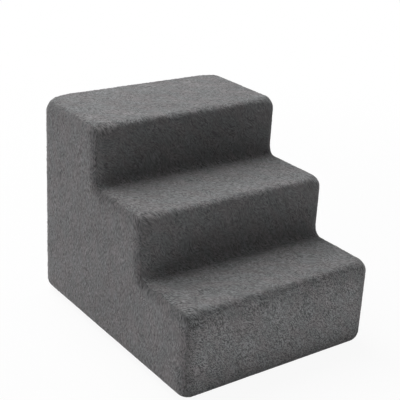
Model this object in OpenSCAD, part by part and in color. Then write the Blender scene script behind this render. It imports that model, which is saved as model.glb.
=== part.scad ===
// Three-step foam pet stairs in a zipped plush cover, in millimetres.
// X runs across the treads, Y from the lowest riser to the back and Z up.
// The origin is on the floor, in the middle of the footprint.

/* [Stairs] */
// Width across the treads
stairs_w = 400; // [300:5:600]
// Height of the lowest tread above the floor
riser1_h = 168; // [140:1:240]
// Height from the lowest tread to the middle tread
riser2_h = 112; // [80:1:180]
// Height from the middle tread to the top tread
riser3_h = 110; // [80:1:180]
// Depth of the lowest tread
tread1_d = 140; // [100:1:260]
// Depth of the middle tread
tread2_d = 150; // [100:1:260]
// Depth of the top tread
tread3_d = 200; // [100:1:300]
// Radius of the rounded side and bottom edges
edge_r = 25; // [14:1:35]
// Radius of the tread nosings and of the top back edge
nosing_r = 12; // [8:1:14]
// Radius in the inner corner between a tread and the riser above it
corner_r = 12; // [4:1:20]

/* [Cover and foam] */
// Thickness of the cover cloth, pile included
cloth_t = 4; // [3.5:0.1:6]
// Clearance between the cover and the foam
foam_gap = 0.3; // [0.2:0.05:0.8]
// Radius of a grip dot under the bottom cloth
dot_r = 2.5; // [1.5:0.1:4]
// Height of a grip dot
dot_h = 0.8; // [0.4:0.1:2]
// Distance from one grip dot to the next
dot_pitch = 20; // [16:1:40]
// Bare cloth left at the rim of the dotted bottom cloth
dot_margin = 10; // [5:1:30]

/* [Zip] */
// Height of the zip's centre line above the floor
zip_z = 46; // [44:1:70]
// Flat cloth left between each end of the zip's slit and the rounded side edge
slit_margin = 10; // [5:1:60]
// Height of the slit
slit_h = 13; // [11:0.5:16]
// Width of each zip tape
tape_w = 13; // [9:0.5:15]
// Thickness of a zip tape
tape_t = 0.5; // [0.3:0.05:0.7]
// Thickness of the moulded teeth
tooth_t = 1.6; // [1.4:0.1:2]
// Distance from one tooth to the next in the same row
tooth_pitch = 3.2; // [2.8:0.1:4]
// Length of the slider
slider_l = 11; // [9:0.5:13]
// Thickness of each of the slider's two plates
plate_t = 0.8; // [0.6:0.05:0.9]
// Length of the pull tab from its pivot
tab_l = 18; // [12:0.5:24]
// Width of the pull tab
tab_w = 5; // [4.5:0.1:6]
// Thickness of the pull tab and of its pivot bar
tab_t = 0.8; // [0.6:0.05:0.9]

/* [Hidden] */

// Colours
plush_grey = [0.34, 0.34, 0.35];
foam_white = [0.90, 0.88, 0.82];
grip_black = [0.12, 0.12, 0.13];
tape_grey = [0.24, 0.24, 0.25];
tooth_grey = [0.30, 0.30, 0.31];
metal_grey = [0.42, 0.42, 0.44];

// Steps in a quarter turn of an outer edge and in an inner corner
edge_steps = 8;
corner_steps = 4;
// Steps from the flat of a step to the side seam, and from that seam to the side's flat
seam_steps = 4;
side_steps = 8;
// Points closer than this are one point
point_grid = 0.0001;
// How far a cut runs past what it cuts
overrun = 1;
// Sides of the drawn round parts
$fn = 48;

// The stairs' main planes
stairs_d = tread1_d + tread2_d + tread3_d;
front_y = -stairs_d / 2;
riser2_y = front_y + tread1_d;
riser3_y = riser2_y + tread2_d;
back_y = stairs_d / 2;
tread1_z = riser1_h;
tread2_z = tread1_z + riser2_h;
tread3_z = tread2_z + riser3_h;
under_z = dot_h;

// Flat half width between the rounded side edges
flat_x = stairs_w / 2 - edge_r;

// How deep the foam lies under the cover's outer face
foam_depth = cloth_t + foam_gap;
foam_tread1_z = tread1_z - foam_depth;
foam_tread2_z = tread2_z - foam_depth;

// A station of the outline is [y, z, turn, pull]: a point of the core line, one edge radius
// under the surface, the direction in which the surface faces there, and the vector towards
// which a tighter edge is pulled out, which is that direction where the edge isn't tighter.
function facing(turn) = [cos(turn), sin(turn)];

function arc_stations(y, z, from, to, reach, steps) = [
    for (i = [0 : steps])
        let (turn = from + (to - from) * i / steps)
            [y + reach * cos(turn), z + reach * sin(turn), turn, facing(turn)]
];

// An outer edge turns about its core point
function edge_stations(y, z, from, to, steps = edge_steps) =
    arc_stations(y, z, from, to, 0, steps);

// A nosing is the same edge, pulled out towards its sharp corner
function nosing_stations(y, z, from, to, pull, steps = edge_steps) = [
    for (station = edge_stations(y, z, from, to, steps))
        [station[0], station[1], station[2], pull]
];

// The pull of a nosing at the front of a tread and of the edge at the top of the back
front_pull = [-1, 1];
back_pull = [1, 1];

// An inner corner turns about a point in the air in front of it
function corner_stations(riser_y, tread_z, radius) =
    arc_stations(riser_y - radius, tread_z + radius, 90, 180, -(radius + edge_r), corner_steps);

// Stations from the front bottom edge, up the steps, to the middle of the top back edge
function step_run(radius) = concat(
    edge_stations(front_y + edge_r, under_z + edge_r, 270, 180),
    nosing_stations(front_y + edge_r, tread1_z - edge_r, 180, 90, front_pull),
    corner_stations(riser2_y, tread1_z, radius),
    nosing_stations(riser2_y + edge_r, tread2_z - edge_r, 180, 90, front_pull),
    corner_stations(riser3_y, tread2_z, radius),
    nosing_stations(riser3_y + edge_r, tread3_z - edge_r, 180, 90, front_pull),
    nosing_stations(back_y - edge_r, tread3_z - edge_r, 90, 45, back_pull, edge_steps / 2)
);

// The station at the height of the zip
zip_station = [back_y - edge_r, zip_z, 0, facing(0)];

// Stations down the back, from the top seam to the zip
back_run = concat(
    nosing_stations(back_y - edge_r, tread3_z - edge_r, 45, 0, back_pull, edge_steps / 2),
    [zip_station]
);

// Stations from the zip to the bottom cloth
strip_run = concat(
    [zip_station],
    edge_stations(back_y - edge_r, under_z + edge_r, 0, -90)
);

// The whole way round
function loop_run(radius) = concat(
    step_run(radius),
    [for (i = [1 : len(back_run) - 1]) back_run[i]],
    [for (i = [1 : len(strip_run) - 1]) strip_run[i]]
);

// The station at the zip, from which the whole side face is in sight
function sight_station(radius) = len(step_run(radius)) + len(back_run) - 2;

// The side seams lie in the middle of the rounded edges, and reach the bottom cloth's corners
function seam_lean(turn) = sin(turn) < 0 ? atan(abs(cos(turn))) : 45;

function snapped(p) = [for (v = p) round(v / point_grid) * point_grid];

// How much of a nosing's pull is left at a lean. It eases off towards the side seam, so that a
// corner where three faces meet is as round as the side edge.
function pull_left(lean) = lean < 45 ? pow(cos(2 * lean), 2) : 0;

// The point at a depth under the surface, where an edge leans by so much towards one side
function skin_point(station, lean, side, depth) =
    let (
        way = facing(station[2]),
        pull = (edge_r - nosing_r) * pull_left(lean),
        reach = (edge_r - depth) * way + pull * (station[3] - way)
    )
        snapped([
            side * (flat_x + (edge_r - depth) * sin(lean)),
            station[0] + cos(lean) * reach[0],
            station[1] + cos(lean) * reach[1]
        ]);

// A row of points across the stairs at one station, from the left limit to the right one
function across_row(station, limit, depth, steps) = concat(
    [for (i = [steps : -1 : 0]) skin_point(station, limit * i / steps, -1, depth)],
    [for (i = [0 : steps]) skin_point(station, limit * i / steps, 1, depth)]
);

// A row of points from the side seam to the side's flat face at one station
function side_row(station, side, depth) =
    let (lean = seam_lean(station[2]), rest = 90 - lean)
        [for (i = [0 : side_steps]) skin_point(station, lean + rest * i / side_steps, side, depth)];

function flat_list(rows) = [for (row = rows, p = row) p];

// Two triangles for each cell of a grid of rows, leaving out those with no area
function cell_faces(points, rows, columns, first, closed, flip) = [
    for (i = [0 : closed ? rows - 1 : rows - 2], j = [0 : columns - 2])
        let (
            a = first + i * columns + j,
            b = first + i * columns + j + 1,
            c = first + ((i + 1) % rows) * columns + j + 1,
            d = first + ((i + 1) % rows) * columns + j
        )
        for (face = flip ? [[a, c, b], [a, d, c]] : [[a, b, c], [a, c, d]])
            if (has_area(points, face)) face
];

function has_area(points, face) =
    points[face[0]] != points[face[1]] && points[face[1]] != points[face[2]]
    && points[face[2]] != points[face[0]];

// A ring of faces between two equal lists of point numbers
function wall_faces(points, near, far, closed) = [
    for (i = [0 : closed ? len(near) - 1 : len(near) - 2])
        let (k = (i + 1) % len(near))
        for (face = [[near[i], far[i], far[k]], [near[i], far[k], near[k]]])
            if (has_area(points, face)) face
];

// The numbers in a list whose points differ from the point before
function distinct(points, numbers) = [
    for (i = [0 : len(numbers) - 1])
        if (points[numbers[i]] != points[numbers[(i + len(numbers) - 1) % len(numbers)]]) numbers[i]
];

function reversed(list) = [for (i = [len(list) - 1 : -1 : 0]) list[i]];

// A flat face as a fan of triangles from one of its points
function fan_faces(numbers, apex, flip) = [
    for (i = [0 : len(numbers) - 1])
        let (a = numbers[i], b = numbers[(i + 1) % len(numbers)])
            if (a != apex && b != apex) flip ? [apex, b, a] : [apex, a, b]
];

// A strip of cloth from seam to seam along a run of stations
module cloth_strip(run) {
    outer = [for (station = run) across_row(station, seam_lean(station[2]), 0, seam_steps)];
    inner = [for (station = run) across_row(station, seam_lean(station[2]), cloth_t, seam_steps)];
    points = concat(flat_list(outer), flat_list(inner));
    rows = len(run);
    columns = len(outer[0]);
    under = rows * columns;
    rim = concat(
        [for (i = [0 : rows - 1]) i * columns],
        [for (j = [1 : columns - 1]) (rows - 1) * columns + j],
        [for (i = [rows - 2 : -1 : 0]) i * columns + columns - 1],
        [for (j = [columns - 2 : -1 : 1]) j]
    );
    polyhedron(points, concat(
        cell_faces(points, rows, columns, 0, false, true),
        cell_faces(points, rows, columns, under, false, false),
        wall_faces(points, rim, [for (n = rim) n + under], true)
    ));
}

// The stair-shaped cloth of one side, from its seam all round
module cloth_side(side) {
    run = loop_run(corner_r);
    outer = [for (station = run) side_row(station, side, 0)];
    inner = [for (station = run) side_row(station, side, cloth_t)];
    points = concat(flat_list(outer), flat_list(inner));
    rows = len(run);
    columns = len(outer[0]);
    under = rows * columns;
    seam = [for (i = [0 : rows - 1]) i * columns];
    face = distinct(points, [for (i = [0 : rows - 1]) i * columns + columns - 1]);
    back = distinct(points, [for (i = [0 : rows - 1]) under + i * columns + columns - 1]);
    sight = sight_station(corner_r) * columns + columns - 1;
    right = side > 0;
    near = right ? seam : reversed(seam);
    polyhedron(points, concat(
        cell_faces(points, rows, columns, 0, true, right),
        cell_faces(points, rows, columns, under, true, !right),
        wall_faces(points, near, [for (n = near) n + under], true),
        fan_faces(face, sight, !right),
        fan_faces(back, under + sight, right)
    ));
}

// The whole foam body, with sharp inner corners
module foam_body() {
    run = loop_run(-foam_depth);
    lean_steps = 2 * seam_steps;
    grid = [for (station = run) across_row(station, 90, foam_depth, lean_steps)];
    points = flat_list(grid);
    rows = len(run);
    columns = len(grid[0]);
    left = distinct(points, [for (i = [0 : rows - 1]) i * columns]);
    right = distinct(points, [for (i = [0 : rows - 1]) i * columns + columns - 1]);
    sight = sight_station(-foam_depth) * columns;
    polyhedron(points, concat(
        cell_faces(points, rows, columns, 0, true, true),
        fan_faces(left, sight, true),
        fan_faces(right, sight + columns - 1, false)
    ));
}

// A slab of the foam between two heights, behind the riser face at front
module foam_slab(front, low, high) {
    intersection() {
        foam_body();
        translate(snapped([-stairs_w / 2, front, low]))
            cube(snapped([stairs_w, back_y - front, high - low]));
    }
}

module foam_base_slab() {
    color(foam_white)
    difference() {
        foam_slab(front_y, 0, foam_tread1_z);
        zip_pocket();
    }
}

module foam_middle_slab() {
    color(foam_white) foam_slab(riser2_y + foam_depth, foam_tread1_z, foam_tread2_z);
}

module foam_top_slab() {
    color(foam_white) foam_slab(riser3_y + foam_depth, foam_tread2_z, tread3_z);
}

module cover_step_panel() {
    color(plush_grey) cloth_strip(step_run(corner_r));
}

module cover_left_panel() {
    color(plush_grey) cloth_side(-1);
}

module cover_right_panel() {
    color(plush_grey) cloth_side(1);
}

module cover_back_panel() {
    color(plush_grey)
    difference() {
        cloth_strip(back_run);
        zip_slit();
    }
}

module cover_back_strip() {
    color(plush_grey)
    difference() {
        cloth_strip(strip_run);
        zip_slit();
    }
}

// How far a grip dot's root goes into the cloth
dot_root = 2;
// Rows of grip dots that fit on the bottom cloth, with one at its centre
dots_x = floor((flat_x - dot_margin) / dot_pitch);
dots_y = floor((stairs_d / 2 - edge_r - dot_margin) / dot_pitch);

module cover_bottom_panel() {
    flat_y = stairs_d / 2 - edge_r;
    color(grip_black)
    union() {
        translate([-flat_x, -flat_y, under_z]) cube([2 * flat_x, 2 * flat_y, cloth_t]);
        for (i = [-dots_x : dots_x], j = [-dots_y : dots_y])
            translate([i * dot_pitch, j * dot_pitch, 0])
                cylinder(r = dot_r, h = dot_h + dot_root);
    }
}

// The zip lies behind the slit. Heights in it are taken from the tapes' middle plane.
slit_l = 2 * (flat_x - slit_margin);
tape_y = back_y - cloth_t - tape_t / 2;
// Half widths: to the inner edge of a row's spine, and to its outer edge where the tape begins
spine_in = 1.4;
spine_out = 2.4;
// How far a tooth reaches over the centre line
tooth_reach = 0.9;
// Widths of a tooth at its root and at its head
tooth_root = 0.9;
tooth_head = 1.2;
// Clearances between the slider and the teeth, and at the stops
slider_gap = 0.2;
stop_gap = 0.3;
// Length, thickness and inner half width of a stop
stop_l = 2.2;
stop_t = 2.2;
stop_in = 1;
// Bare zip left between the last stop and the end of the slit
slit_end = 1.7;
// Each tape runs on past the end of the slit, and stops this far before the rounded edge
tape_end_gap = 2;
tape_tail = slit_margin - tape_end_gap;
// Clearance round the tapes and the slider in the foam
pocket_gap = 0.4;

// The slider at rest and at its other limit
slider_front_x = slit_l / 2 - slit_end - stop_l - stop_gap;
slider_x = slider_front_x - slider_l / 2;
tab_end_gap = 1.5;
slider_open_x = -slit_l / 2 + tab_end_gap + tab_l;

// The slider's divider between the two rows
divider_l = 3.2;
divider_half = 0.8;
teeth_end_x = slider_front_x - divider_l - stop_gap;
spine_end_x = slider_front_x + stop_gap;
spine_start_x = slider_open_x - slider_l / 2 - stop_gap;

// The slider's faces along Y and its half widths
channel_half = tooth_t / 2 + slider_gap;
slider_top_y = tape_y + channel_half + plate_t;
slider_under_y = tape_y - channel_half - plate_t;
flange_in = spine_out + slider_gap;
flange_t = 0.8;
// How much wider the slider is at its front than at its rear, on each side
shoulder_w = 0.64;
rear_half = flange_in + flange_t;
front_half = rear_half + shoulder_w;
flange_slot = tape_t + 2 * slider_gap;

// The bail on the slider and the pull tab's bar inside it
bail_clear = 0.2;
bail_t = 0.6;
bail_half_w = 0.8;
bail_in = 1.8;
bail_out = 2.8;
pivot_y = slider_top_y + bail_clear + tab_t / 2;
bail_under_y = pivot_y + tab_t / 2 + bail_clear;
// The window in the pull tab that the bail passes through
window_l = 3.3;
window_half = 1.5;
// Radius of the pull tab's free corners, and its hole's radius and distance from the free end
tab_corner = 1.2;
tab_hole_r = 1.2;
tab_hole_end = 3;

// A block of the cover's back that leaves the zip free
module zip_slit() {
    translate([0, back_y + overrun, zip_z]) rotate([90, 0, 0])
        linear_extrude(cloth_t + 2 * overrun) {
            straight = slit_l - slit_h;
            square([straight, slit_h], center = true);
            for (side = [-1, 1])
                translate([side * straight / 2, 0]) circle(d = slit_h);
        }
}

// The shallow pocket in the foam behind the zip
module zip_pocket() {
    pocket_l = slit_l + 2 * (tape_tail + pocket_gap);
    pocket_h = 2 * (tape_w + spine_out + pocket_gap);
    floor_y = slider_under_y - pocket_gap;
    translate([-pocket_l / 2, floor_y, zip_z - pocket_h / 2])
        cube([pocket_l, back_y - floor_y, pocket_h]);
}

module zip_tape(side) {
    length = slit_l + 2 * tape_tail;
    low = side > 0 ? spine_out : -spine_out - tape_w;
    color(tape_grey)
    translate([-length / 2, tape_y - tape_t / 2, zip_z + low])
        cube([length, tape_t, tape_w]);
}

module zip_tape_upper() {
    zip_tape(1);
}

module zip_tape_lower() {
    zip_tape(-1);
}

// One row of teeth on its spine. The lower row sits half a pitch along, between the upper one's teeth.
module zip_teeth(side) {
    first = spine_start_x + tooth_head + (side > 0 ? 0 : tooth_pitch / 2);
    count = floor((teeth_end_x - tooth_head / 2 - first) / tooth_pitch) + 1;
    teeth = [
        for (i = [0 : count - 1])
            let (x = first + i * tooth_pitch)
                each [
                    [x - tooth_root / 2, spine_in],
                    [x - tooth_root / 2, 0],
                    [x - tooth_head / 2, -tooth_reach / 2],
                    [x - tooth_root / 2, -tooth_reach],
                    [x + tooth_root / 2, -tooth_reach],
                    [x + tooth_head / 2, -tooth_reach / 2],
                    [x + tooth_root / 2, 0],
                    [x + tooth_root / 2, spine_in]
                ]
    ];
    outline = concat(
        [[spine_start_x, spine_out], [spine_start_x, spine_in]],
        teeth,
        [[spine_end_x, spine_in], [spine_end_x, spine_out]]
    );
    color(tooth_grey)
    translate([0, tape_y + tooth_t / 2, zip_z]) rotate([90, 0, 0])
        linear_extrude(tooth_t)
            scale([1, side]) polygon(outline);
}

module zip_teeth_upper() {
    zip_teeth(1);
}

module zip_teeth_lower() {
    zip_teeth(-1);
}

// One stop at the closed end of each tape
module zip_top_stops() {
    color(metal_grey)
    for (side = [-1, 1])
        translate([spine_end_x, tape_y - stop_t / 2, zip_z + (side > 0 ? stop_in : -spine_out)])
            cube([stop_l, stop_t, spine_out - stop_in]);
}

// One stop across both rows at the open end
module zip_bottom_stop() {
    color(metal_grey)
    translate([spine_start_x - stop_l, tape_y - stop_t / 2, zip_z - spine_out])
        cube([stop_l, stop_t, 2 * spine_out]);
}

// The outline of the slider's plates, wide at the front and narrow at the rear
slider_rear_x = slider_x - slider_l / 2;
shoulder_l = 1.1;
shoulder_x = slider_x + shoulder_l;
slider_outline = [
    [slider_rear_x, -rear_half], [slider_x, -rear_half], [shoulder_x, -front_half],
    [slider_front_x, -front_half], [slider_front_x, front_half], [shoulder_x, front_half],
    [slider_x, rear_half], [slider_rear_x, rear_half]
];

// A slice of a flat shape that stands up between two places along Y
module upright_slice(low_y, high_y) {
    translate([0, high_y, zip_z]) rotate([90, 0, 0])
        linear_extrude(high_y - low_y) children();
}

// A flange on a plate, along both edges of the slider
module slider_flanges(low_y, high_y) {
    upright_slice(low_y, high_y)
        difference() {
            polygon(slider_outline);
            translate([slider_rear_x - overrun, -flange_in])
                square([slider_l + 2 * overrun, 2 * flange_in]);
        }
}

module zip_slider() {
    color(metal_grey)
    union() {
        upright_slice(slider_under_y, slider_under_y + plate_t) polygon(slider_outline);
        upright_slice(slider_top_y - plate_t, slider_top_y) polygon(slider_outline);
        slider_flanges(slider_under_y, tape_y - flange_slot / 2);
        slider_flanges(tape_y + flange_slot / 2, slider_top_y);
        upright_slice(slider_under_y, slider_top_y)
            translate([slider_front_x - divider_l, -divider_half])
                square([divider_l, 2 * divider_half]);
        bail();
    }
}

// The small arch that holds the pull tab's bar
module bail() {
    for (side = [-1, 1])
        upright_slice(slider_top_y - plate_t, bail_under_y + bail_t)
            translate([slider_x + (side > 0 ? bail_in : -bail_out), -bail_half_w])
                square([bail_out - bail_in, 2 * bail_half_w]);
    upright_slice(bail_under_y, bail_under_y + bail_t)
        translate([slider_x - bail_out, -bail_half_w])
            square([2 * bail_out, 2 * bail_half_w]);
}

module zip_pull_tab() {
    bar = tab_t;
    color(metal_grey)
    union() {
        upright_slice(pivot_y - tab_t / 2, pivot_y + tab_t / 2)
            translate([slider_x, 0])
                difference() {
                    union() {
                        translate([-tab_l + tab_corner, -tab_w / 2])
                            square([tab_l - tab_corner, tab_w]);
                        translate([-tab_l, -tab_w / 2 + tab_corner])
                            square([tab_l, tab_w - 2 * tab_corner]);
                        for (side = [-1, 1])
                            translate([-tab_l + tab_corner, side * (tab_w / 2 - tab_corner)])
                                circle(r = tab_corner);
                    }
                    translate([-window_l - bar / 2, -window_half])
                        square([window_l + bar, 2 * window_half]);
                    translate([-tab_l + tab_hole_end, 0]) circle(r = tab_hole_r);
                }
        translate([slider_x, pivot_y, zip_z - tab_w / 2]) cylinder(r = bar / 2, h = tab_w);
    }
}

foam_base_slab();
foam_middle_slab();
foam_top_slab();
cover_step_panel();
cover_left_panel();
cover_right_panel();
cover_back_panel();
cover_back_strip();
cover_bottom_panel();
zip_tape_upper();
zip_tape_lower();
zip_teeth_upper();
zip_teeth_lower();
zip_top_stops();
zip_bottom_stop();
zip_slider();
zip_pull_tab();
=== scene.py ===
import math

import bmesh
import bpy
import numpy as np
from mathutils import Matrix, Vector
from mathutils.geometry import delaunay_2d_cdt


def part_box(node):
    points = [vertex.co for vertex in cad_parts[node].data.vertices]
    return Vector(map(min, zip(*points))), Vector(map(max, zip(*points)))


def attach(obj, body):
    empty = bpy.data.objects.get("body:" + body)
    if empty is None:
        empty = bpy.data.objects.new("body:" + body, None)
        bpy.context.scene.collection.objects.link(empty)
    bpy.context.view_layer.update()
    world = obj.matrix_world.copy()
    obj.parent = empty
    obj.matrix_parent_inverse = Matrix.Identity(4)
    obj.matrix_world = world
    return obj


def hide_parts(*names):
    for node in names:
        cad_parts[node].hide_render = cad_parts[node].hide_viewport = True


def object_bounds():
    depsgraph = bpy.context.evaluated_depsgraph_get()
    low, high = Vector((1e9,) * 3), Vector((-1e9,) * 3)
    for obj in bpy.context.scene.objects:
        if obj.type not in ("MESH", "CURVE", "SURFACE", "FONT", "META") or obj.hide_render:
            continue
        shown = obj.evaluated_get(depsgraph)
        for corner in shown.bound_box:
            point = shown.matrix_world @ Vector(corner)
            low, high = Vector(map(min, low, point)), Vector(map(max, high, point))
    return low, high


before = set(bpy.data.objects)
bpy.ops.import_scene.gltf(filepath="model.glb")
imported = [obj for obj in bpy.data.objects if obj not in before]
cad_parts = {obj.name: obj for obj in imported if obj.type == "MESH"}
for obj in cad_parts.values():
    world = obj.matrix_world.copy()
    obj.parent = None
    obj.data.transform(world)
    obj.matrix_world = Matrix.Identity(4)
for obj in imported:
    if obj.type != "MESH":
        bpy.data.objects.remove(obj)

# Three-step foam pet stairs in a zipped plush cover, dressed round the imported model. Metres, Z up.
cadLow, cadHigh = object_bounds()
scene = bpy.context.scene


# The camera stands at the photograph's place: front left and a little above
cameraPlace = {
    "target": (-0.0442, -0.05, 0.2606),
    "azimuth": -36.43,
    "elevation": 22.46,
    "roll": 3.12,
    "distance": 1.75,
    "lens": 90.1,
    "sensor": 36.0,
}


def placeCamera(place):
    azimuth, elevation, roll = (math.radians(place[k]) for k in ("azimuth", "elevation", "roll"))
    back = Vector((
        math.sin(azimuth) * math.cos(elevation),
        -math.cos(azimuth) * math.cos(elevation),
        math.sin(elevation),
    ))
    right = Vector((0, 0, 1)).cross(back).normalized()
    up = back.cross(right)
    tiltedRight = math.cos(roll) * right + math.sin(roll) * up
    tiltedUp = math.cos(roll) * up - math.sin(roll) * right
    data = bpy.data.cameras.new("camera")
    data.lens = place["lens"]
    data.sensor_width = place["sensor"]
    camera = bpy.data.objects.new("camera", data)
    turn = Matrix((tiltedRight, tiltedUp, back)).transposed().to_4x4()
    camera.matrix_world = Matrix.Translation(Vector(place["target"]) + back * place["distance"]) @ turn
    scene.collection.objects.link(camera)
    scene.camera = camera


placeCamera(cameraPlace)
print("camera placed")


# Shader maths: a Wire is an output socket that can be added to, multiplied and mixed
class Wire:
    def __init__(self, finish, socket):
        self.finish = finish
        self.socket = socket

    def combine(self, operation, other, swapped=False):
        first, second = (other, self) if swapped else (self, other)
        kinds = {x.socket.type for x in (first, second) if isinstance(x, Wire)}
        if "RGBA" in kinds:
            settings = {"data_type": "RGBA", "blend_type": operation}
            colours = {0: 1.0, 6: self.finish.asColour(first), 7: self.finish.asColour(second)}
            return self.finish.add("ShaderNodeMix", settings, colours, 2)
        if "VECTOR" in kinds:
            return self.finish.add("ShaderNodeVectorMath", {"operation": operation}, {0: first, 1: second})
        return self.finish.add("ShaderNodeMath", {"operation": operation}, {0: first, 1: second})

    def __add__(self, other):
        return self.combine("ADD", other)

    def __radd__(self, other):
        return self.combine("ADD", other, True)

    def __sub__(self, other):
        return self.combine("SUBTRACT", other)

    def __rsub__(self, other):
        return self.combine("SUBTRACT", other, True)

    def __mul__(self, other):
        return self.combine("MULTIPLY", other)

    def __rmul__(self, other):
        return self.combine("MULTIPLY", other, True)

    def sine(self):
        return self.finish.add("ShaderNodeMath", {"operation": "SINE"}, {0: self})

    def clamped(self, low=0.0, high=1.0):
        return self.finish.add("ShaderNodeClamp", {}, {"Value": self, "Min": low, "Max": high})

    # Rises from 0 to 1 as the value goes from low to high
    def ramped(self, low, high):
        sockets = {"Value": self, "From Min": low, "From Max": high}
        return self.finish.add("ShaderNodeMapRange", {"interpolation_type": "SMOOTHSTEP"}, sockets)

    def part(self, axis):
        return self.finish.add("ShaderNodeSeparateXYZ", {}, {0: self}, axis)


class Finish:
    def __init__(self, owner):
        self.owner = owner
        owner.use_nodes = True
        self.tree = owner.node_tree
        self.tree.nodes.clear()

    def add(self, kind, settings=None, sockets=None, output=0):
        node = self.tree.nodes.new(kind)
        for key, value in (settings or {}).items():
            setattr(node, key, value)
        for key, value in (sockets or {}).items():
            if isinstance(value, Wire):
                self.tree.links.new(value.socket, node.inputs[key])
            else:
                node.inputs[key].default_value = value
        return Wire(self, node.outputs[output]) if len(node.outputs) else None

    def asColour(self, value):
        if isinstance(value, Wire):
            return value
        return (value, value, value, 1.0) if isinstance(value, (int, float)) else (*value, 1.0)

    def mixed(self, factor, first, second):
        sockets = {0: factor, 6: self.asColour(first), 7: self.asColour(second)}
        return self.add("ShaderNodeMix", {"data_type": "RGBA"}, sockets, 2)

    def noise(self, vector, detail=2.0, roughness=0.5):
        sockets = {"Vector": vector, "Scale": 1.0, "Detail": detail, "Roughness": roughness}
        return self.add("ShaderNodeTexNoise", {}, sockets)

    def attribute(self, name, output="Vector"):
        return self.add("ShaderNodeAttribute", {"attribute_name": name}, {}, output)

    # Places on the piece in millimetres, so that sizes in a finish read as real ones
    def millimetres(self):
        return self.add("ShaderNodeTexCoord", {}, {}, "Object") * (1000.0, 1000.0, 1000.0)

    # Camera and mirror rays, which see the background as plain white
    def seen(self):
        kinds = ("Camera", "Glossy", "Transmission")
        rays = [self.add("ShaderNodeLightPath", {}, {}, f"Is {kind} Ray") for kind in kinds]
        return (rays[0] + rays[1] + rays[2]).clamped()

    def bumped(self, height, deep):
        return self.add("ShaderNodeBump", {}, {"Height": height, "Distance": deep, "Strength": 1.0})

    def surface(self, sockets):
        shader = self.add("ShaderNodeBsdfPrincipled", {}, sockets)
        self.add("ShaderNodeOutputMaterial", {}, {"Surface": shader})
        return self.owner


def newFinish(name):
    return Finish(bpy.data.materials.new(name))


# Sizes of the cover in metres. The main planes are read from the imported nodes.
coverShape = {
    "nosing": 0.012,         # radius of the tread nosings and of the top back edge
    "easeRun": 0.030,        # how far from a side a nosing starts to widen towards it
    "cornerRadius": 0.012,   # in the inner corner between a tread and its riser
    "cornerSpan": 0.7,       # how closely the inner corner's stations stand
    "slitHigh": 0.013,       # opening that shows the zip
    "tapeTail": 0.008,       # zip tape past each end of the slit
    "lip": 0.0015,           # radius of the cloth's rolled edge at the zip
    "lipTurn": 20,           # degrees between the rows of the rolled edge
    "slitTurn": 4,           # degrees between columns round the slit's ends
    "slitGuard": 0.0006,     # first column past the slit, and the room that the others keep
    "slitClear": 0.0008,
}


def measureStairs(shape):
    slabs = [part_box(name) for name in ("foam_base_slab", "foam_middle_slab", "foam_top_slab")]
    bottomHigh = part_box("cover_bottom_panel")[1]
    sliderLow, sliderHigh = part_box("zip_slider")
    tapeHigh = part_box("zip_tape_upper")[1]
    inset = cadHigh.x - slabs[0][1].x
    return {
        "edge": cadHigh.x - bottomHigh.x,
        "flatX": bottomHigh.x,
        "flatY": bottomHigh.y,
        "front": cadLow.y,
        "back": cadHigh.y,
        "under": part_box("cover_step_panel")[0].z,
        "treads": [slab[1].z + inset for slab in slabs],
        "risers": [slab[0].y - inset for slab in slabs[1:]],
        "zipZ": (sliderLow.z + sliderHigh.z) / 2,
        "slitStraight": tapeHigh.x - shape["tapeTail"] - shape["slitHigh"] / 2,
        "slitRadius": shape["slitHigh"] / 2 + shape["lip"],
        **shape,
    }


stairs = measureStairs(coverShape)
print("stairs measured:", {k: v if isinstance(v, list) else round(v, 4) for k, v in stairs.items()})


def meshObject(name, points, faces):
    mesh = bpy.data.meshes.new(name)
    mesh.from_pydata(np.asarray(points).reshape(-1, 3).tolist(), [], faces)
    mesh.polygons.foreach_set("use_smooth", [True] * len(mesh.polygons))
    thing = bpy.data.objects.new(name, mesh)
    scene.collection.objects.link(thing)
    return thing


# Merges points that lie together and drops faces that have no area
def weld(thing, distance=0.00005, outward=False):
    work = bmesh.new()
    work.from_mesh(thing.data)
    bmesh.ops.remove_doubles(work, verts=work.verts, dist=distance)
    bmesh.ops.dissolve_degenerate(work, edges=work.edges, dist=distance / 4)
    if outward:
        bmesh.ops.recalc_face_normals(work, faces=work.faces)
    work.to_mesh(thing.data)
    work.free()


def dressPiece(thing, body, nodes, material):
    thing.data.materials.clear()
    thing.data.materials.append(material)
    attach(thing, body)
    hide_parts(*nodes)
    return thing


# Soft random fields: white noise kept between two wavelengths, on a tile that repeats
fieldTile = {"cells": 512, "cell": 0.0016}


def makeField(seed, shortest, longest, stretch=1.0):
    count = fieldTile["cells"]
    random = np.random.default_rng(seed).standard_normal((count, count))
    frequency = np.fft.fftfreq(count, fieldTile["cell"])
    reach = np.hypot(frequency[:, None], frequency[None, :] * stretch)
    keep = np.exp(-(reach * shortest) ** 2) * (1 - np.exp(-(reach * longest) ** 2))
    field = np.fft.ifft2(np.fft.fft2(random) * keep).real
    return field / field.std()


def sampleField(field, u, v):
    count = fieldTile["cells"]
    a, b = u / fieldTile["cell"], v / fieldTile["cell"]
    i, j = np.floor(a).astype(int), np.floor(b).astype(int)
    p, q = a - i, b - j
    near = field[i % count, j % count] * (1 - q) + field[i % count, (j + 1) % count] * q
    far = field[(i + 1) % count, j % count] * (1 - q) + field[(i + 1) % count, (j + 1) % count] * q
    return near * (1 - p) + far * p


fields = {
    "clump": makeField(11, 0.005, 0.012),
    "ripple": makeField(12, 0.0035, 0.012, 4.0),
    "swell": makeField(13, 0.06, 0.16),
    "pucker": makeField(14, 0.006, 0.016),
    "seam": makeField(15, 0.008, 0.05),
    "swirlU": makeField(16, 0.045, 0.14),
    "swirlV": makeField(17, 0.045, 0.14),
    "crease": makeField(18, 0.004, 0.012, 6.0),
    "patch": makeField(19, 0.03, 0.10),
}
print("fields made")


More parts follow.
